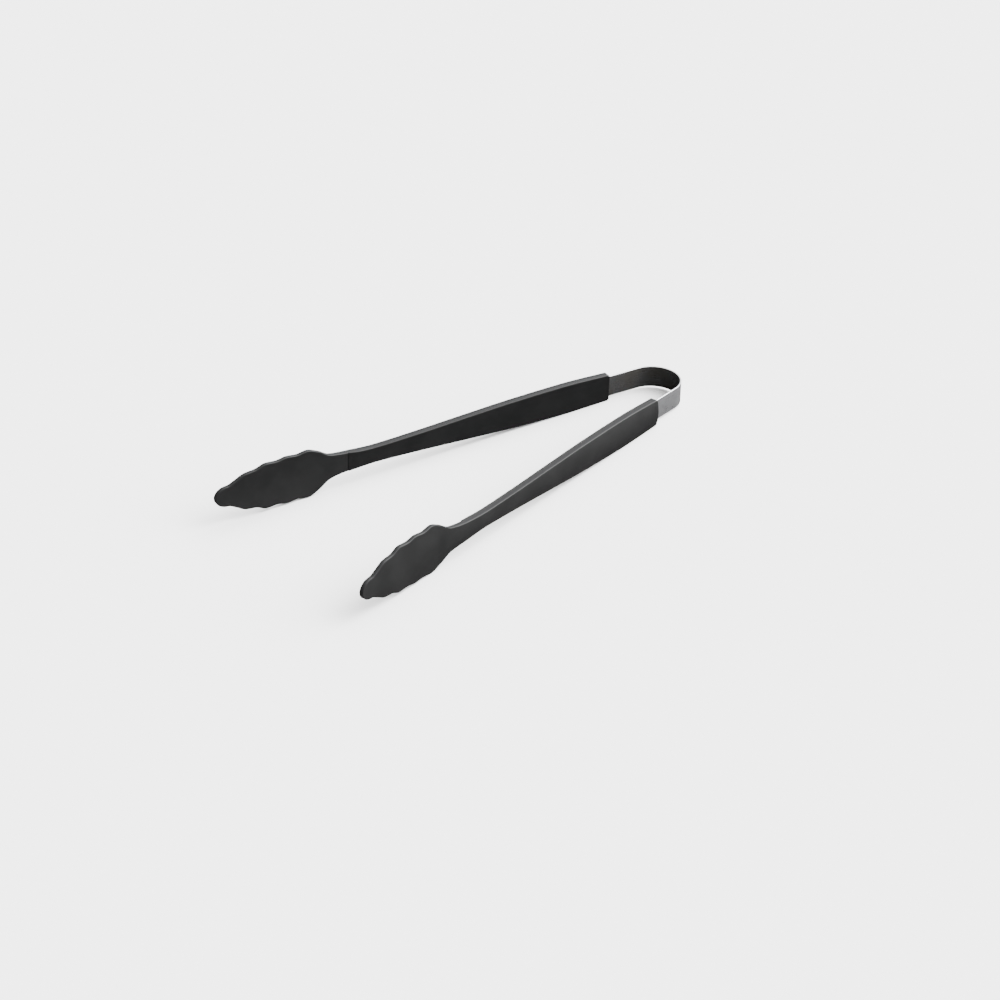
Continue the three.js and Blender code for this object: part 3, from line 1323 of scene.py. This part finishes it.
@dataclass
class Arm:
    """One arm: a moulding from the handle's end to the tip, and the cover over its inner face."""

    side: Side
    shape: ArmShape
    strip: StripShape
    placement: Placement
    rows: int = 14
    corner_radius: float = 1.1
    cover_corner_radius: float = 0.3
    corner_steps: int = 6
    handle_step: float = 1.5
    head_step: float = 0.5
    nose_steps: int = 16
    nose_reach: float = math.radians(78)
    fit: float = 0.1
    joint_line: float = 0.04
    edge_round: float = 0.34
    head_edge_round: float = 0.32
    inner_edge_round: float = 0.4
    joint_edge_round: float = 0.14
    step_slope: float = 0.06
    peg_radius: float = 1.6
    peg_top: float = 0.65
    peg_root: float = 0.5
    peg_chamfer: float = 0.2
    peg_places: tuple[float, ...] = (104.8, 139.8, 174.8)
    pin_head_radius: float = 2.5
    pin_head_thickness: float = 0.5
    pin_end: float = 2.4
    overcut: float = 0.6
    floor_overcut: float = 0.15
    pocket_overcut: float = 1.0

    def corner(
        self, along: float, height: float, radius: float, towards: float = 1
    ) -> list[tuple[float, Point]]:
        """Round a corner at an end of the outline.

        Args:
            along: where the end is.
            height: half height of the arm there.
            radius: how far the corner is rounded.
            towards: 1 if the arm lies ahead of the end, -1 if it lies behind.

        Returns:
            Station and point of each step, from the end to the outline.
        """
        points = []
        for angle in np.linspace(0, math.pi / 2, self.corner_steps + 1):
            at = along + towards * radius * (1 - math.cos(angle))
            points.append((at, (at, height - radius + radius * math.sin(angle))))
        return points

    def column(self, point: Point) -> np.ndarray:
        """Return an upright column of points from the lower outline to a point on the upper one."""
        along, height = point
        heights = np.linspace(-height, height, self.rows + 1)
        return np.stack([np.full_like(heights, along), heights], axis=1)

    def upper_outline(self, start: float, end: float) -> list[tuple[float, Point]]:
        """Step along the outline.

        Args:
            start: first place.
            end: place to stop before.

        Returns:
            Station and point of each step.
        """
        shape = self.shape
        places = []
        at = start
        while at < end - self.head_step / 2:
            places.append(at)
            at += self.handle_step if at < shape.cover_end - self.handle_step else self.head_step
        slope = self.step_slope / 2
        if start < shape.cover_end < end:
            places = [p for p in places if abs(p - shape.cover_end) > self.head_step / 2]
            places += [shape.cover_end - slope, shape.cover_end + slope]
        return [(p, (p, shape.half_height(p))) for p in sorted(places)]

    def nose(self) -> tuple[list[tuple[float, Point]], np.ndarray]:
        """Round the end of the head.

        Returns:
            Station and point of each step, and the last column, which follows the round.
        """
        shape = self.shape
        base = shape.knots[-1][1]
        steps = []
        for angle in np.linspace(0, self.nose_reach, self.nose_steps, endpoint=False):
            at = shape.nose_at + shape.nose_length * math.sin(angle)
            steps.append((at, (at, base * math.cos(angle))))
        ends = math.pi / 2 - self.nose_reach
        angles = np.linspace(-ends, ends, self.rows + 1)
        last = np.stack([shape.nose_at + shape.nose_length * np.cos(angles), base * np.sin(angles)], axis=1)
        return steps, last

    def plate(self, steps: list, last: np.ndarray | None, inner: Face, outer: Face, rim: Rim) -> Plate:
        """Put a plate together from its outline.

        Args:
            steps: station and point of each step along the upper outline.
            last: the last column, if it isn't upright.
            inner: the inner face.
            outer: the outer face.
            rim: the rounded edges.

        Returns:
            The plate.
        """
        columns = [self.column(point) for _, point in steps]
        stations = [station for station, _ in steps]
        if last is not None:
            columns.append(last)
            stations.append(float(last[:, 0].mean()))
        return Plate(stations, np.array(columns), inner, outer, rim)

    def molding(self) -> Mesh:
        """Build the moulding with its channel, its pin holes and its peg holes."""
        shape = self.shape
        rear = self.corner(shape.handle_start, shape.handle_end_height / 2, self.corner_radius)
        first = shape.handle_start + self.corner_radius + self.head_step
        steps = rear + self.upper_outline(first, shape.nose_at)
        nose, last = self.nose()
        rim = Rim(
            outer_radius=lambda at: mix(self.edge_round, self.head_edge_round, shape.head_share(at)),
            inner_radius=lambda at: self.joint_edge_round if at <= shape.cover_end else self.inner_edge_round,
        )
        plate = self.plate(steps + nose, last, shape.inner, shape.outer, rim)
        return worked(plate.build("molding", self.strip.bend_radius), Operation.CUT, self.molding_tools())

    def molding_tools(self) -> list[Mesh]:
        """Make the cutters for the moulding: the tail's channel, and a hole for each pin and peg."""
        shape, strip = self.shape, self.strip
        lift = strip.bend_radius
        floor = strip.thickness / 2 + self.fit
        half = strip.width / 2 + self.fit
        channel = block(
            (shape.handle_start - self.overcut, lift + shape.molding_inside - self.overcut, -half),
            (strip.tail_end + self.fit, lift + floor, half),
        )
        tools = [channel]
        pin_hole = cylinder(strip.hole_radius, floor - self.floor_overcut, self.pin_end + self.fit)
        peg_hole = cylinder(
            self.peg_radius + self.fit, shape.molding_inside - self.overcut, self.peg_top + self.fit
        )
        tools += [turned_solid(pin_hole, place, lift) for place in self.pin_places]
        tools += [turned_solid(peg_hole, place, lift) for place in self.peg_places]
        return tools

    @property
    def pin_places(self) -> tuple[float, ...]:
        """Where the pins cross the arm."""
        return self.strip.pin_places

    def cover(self) -> Mesh:
        """Build the cover with its pegs and the pockets for the pins' heads."""
        shape = self.shape
        lift = self.strip.bend_radius
        top = shape.molding_inside - self.joint_line
        rear = self.corner(shape.handle_start, shape.handle_end_height / 2, self.corner_radius)
        end = shape.cover_end - self.step_slope
        front = self.corner(end, shape.half_height(end), self.cover_corner_radius, -1)
        first = shape.handle_start + self.corner_radius + self.head_step
        steps = rear + self.upper_outline(first, end - self.cover_corner_radius) + front[::-1]

        def inner_radius(at: float) -> float:
            """Return the inner edge's radius there. It narrows towards the cover's end."""
            share = smoothstep(at, end - shape.cover_taper, end - self.cover_corner_radius)
            return mix(self.inner_edge_round, self.joint_edge_round, share)

        rim = Rim(outer_radius=lambda _: self.joint_edge_round, inner_radius=inner_radius)
        plate = self.plate(steps, None, shape.cover_face, lambda *_: top, rim)
        mesh = plate.build("cover", lift)
        root, radius, chamfer = top - self.peg_root, self.peg_radius, self.peg_chamfer
        peg = [
            (0, root), (radius, root), (radius, self.peg_top - chamfer),
            (radius - chamfer, self.peg_top), (0, self.peg_top),
        ]
        pegs = [turned_solid(peg, place, lift) for place in self.peg_places]
        depth = shape.molding_inside - self.pin_head_thickness - self.fit
        pocket = cylinder(self.pin_head_radius + self.fit, depth, top + self.pocket_overcut)
        pockets = [turned_solid(pocket, place, lift) for place in self.pin_places]
        return worked(worked(mesh, Operation.JOIN, pegs), Operation.CUT, pockets)

    def handed(self, mesh: Mesh) -> Mesh:
        """Mirror a left-hand mesh if the arm is the right one.

        Args:
            mesh: the left-hand mesh.

        Returns:
            The same mesh, closed and facing out.
        """
        if self.side is Side.RIGHT:
            mesh.transform(Matrix.Diagonal((1, -1, 1, 1)))
        return tidied(mesh)

    def build(self, finishes: Finishes) -> list[bpy.types.Object]:
        """Build the arm's pieces and dress its pins.

        Args:
            finishes: the finishes.

        Returns:
            The moulding and the cover.
        """
        word = self.side.word
        pieces = []
        for part, mesh, finish in (
            ("arm", self.molding(), finishes.nylon),
            ("cover", self.cover(), finishes.cover_nylon),
        ):
            piece = placed(self.handed(mesh), f"fine_{word}_{part}", self.placement.arm(self.side), finish)
            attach(piece, self.side.body)
            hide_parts(f"{word}_{part}")
            pieces.append(piece)
        for i in range(len(self.pin_places)):
            for material_slot in frame["nodes"][f"{word}_pin_{i + 1}"].material_slots:
                material_slot.material = finishes.pin_steel
        return pieces


# ---------------------------------------------------------------------------------------------------------
# Studio
# ---------------------------------------------------------------------------------------------------------


@dataclass(frozen=True)
class Glow:
    """A wide soft glow far away. Its light falls off smoothly from its middle."""

    azimuth: float
    elevation: float
    narrowness: float
    strength: float


def direction(azimuth: float, elevation: float) -> Vector:
    """Turn two angles into a direction.

    Args:
        azimuth: degrees from +X towards +Y.
        elevation: degrees above the table.

    Returns:
        A unit vector.
    """
    turn, rise = math.radians(azimuth), math.radians(elevation)
    return Vector((math.cos(rise) * math.cos(turn), math.cos(rise) * math.sin(turn), math.sin(rise)))


@dataclass
class Studio:
    """The table, the light and the camera."""

    aim: Vector = field(default_factory=lambda: Vector((0.022024, 0.034265, 0.010233)))
    camera_azimuth: float = 48.0894
    camera_elevation: float = 31.9367
    camera_distance: float = 1.7876
    lens: float = 117.555
    sensor_width: float = 36.0
    near_clip: float = 0.01
    table_size: float = 60.0
    table_drop: float = 0.00003
    room_strength: float = 0.45
    backdrop_strength: float = 4.4
    glows: tuple[Glow, ...] = (
        Glow(azimuth=158, elevation=42, narrowness=7, strength=30),
    )

    def add_camera(self) -> None:
        """Stand the camera in its place."""
        data = bpy.data.cameras.new("camera")
        data.lens = self.lens
        data.sensor_width = self.sensor_width
        data.clip_start = self.near_clip
        camera = linked("camera", data)
        away = direction(self.camera_azimuth, self.camera_elevation)
        camera.location = self.aim + away * self.camera_distance
        camera.rotation_euler = away.to_track_quat("Z", "Y").to_euler()
        bpy.context.scene.camera = camera

    def add_table(self, finish: Material) -> None:
        """Lay the table.

        Args:
            finish: its finish.
        """
        work = bmesh.new()
        bmesh.ops.create_grid(work, x_segments=4, y_segments=4, size=self.table_size / 2)
        bmesh.ops.translate(work, verts=work.verts, vec=(0, 0, -self.table_drop))
        mesh = written(work, "table")
        mesh.materials.append(finish)
        linked("table", mesh)

    def add_room(self) -> None:
        """Light the room evenly from all round and by its glows, with a plain backdrop for the camera."""
        world = bpy.data.worlds.new("room")
        world.use_nodes = True
        build = TreeBuilder(world.node_tree)
        ray = build.add("ShaderNodeTexCoord").outputs["Generated"]
        total: object = self.room_strength
        for glow in self.glows:
            towards = {0: ray, 1: direction(glow.azimuth, glow.elevation)}
            facing = build.add("ShaderNodeVectorMath", towards, operation="DOT_PRODUCT").outputs["Value"]
            lobe = build.math("POWER", build.math("MAXIMUM", facing, 0.0), glow.narrowness)
            total = build.math("MULTIPLY_ADD", lobe, glow.strength, total)
        seen = build.add("ShaderNodeLightPath").outputs["Is Camera Ray"]
        seen_part = build.math("MULTIPLY", seen, self.backdrop_strength)
        lit_part = build.math("MULTIPLY", build.math("SUBTRACT", 1.0, seen), total)
        background = world.node_tree.nodes["Background"]
        strength = build.math("ADD", seen_part, lit_part)
        build.feed(background, {"Color": (1.0, 1.0, 1.0, 1.0), "Strength": strength})
        bpy.context.scene.world = world

    def build(self, finishes: Finishes) -> None:
        """Set the studio up.

        Args:
            finishes: the finishes.
        """
        self.add_camera()
        self.add_table(finishes.tabletop)
        self.add_room()


def describe(pieces: Sequence[bpy.types.Object]) -> None:
    """Report pieces.

    Args:
        pieces: the pieces just built.
    """
    for piece in pieces:
        LOG.info("%s: %d vertices, %d faces", piece.name, len(piece.data.vertices), len(piece.data.polygons))


def main() -> None:
    """Build the tongs and the studio."""
    logging.basicConfig(level=logging.INFO, format="%(name)s: %(message)s")
    finishes = Finishes.build()
    strip_shape = StripShape()
    arm_shape = ArmShape()
    placement = Placement(strip_shape)

    Studio().build(finishes)
    describe([SpringStrip(strip_shape, placement).build(finishes, arm_shape)])
    for side in Side:
        describe(Arm(side, arm_shape, strip_shape, placement).build(finishes))


if __name__ == "__main__":
    main()
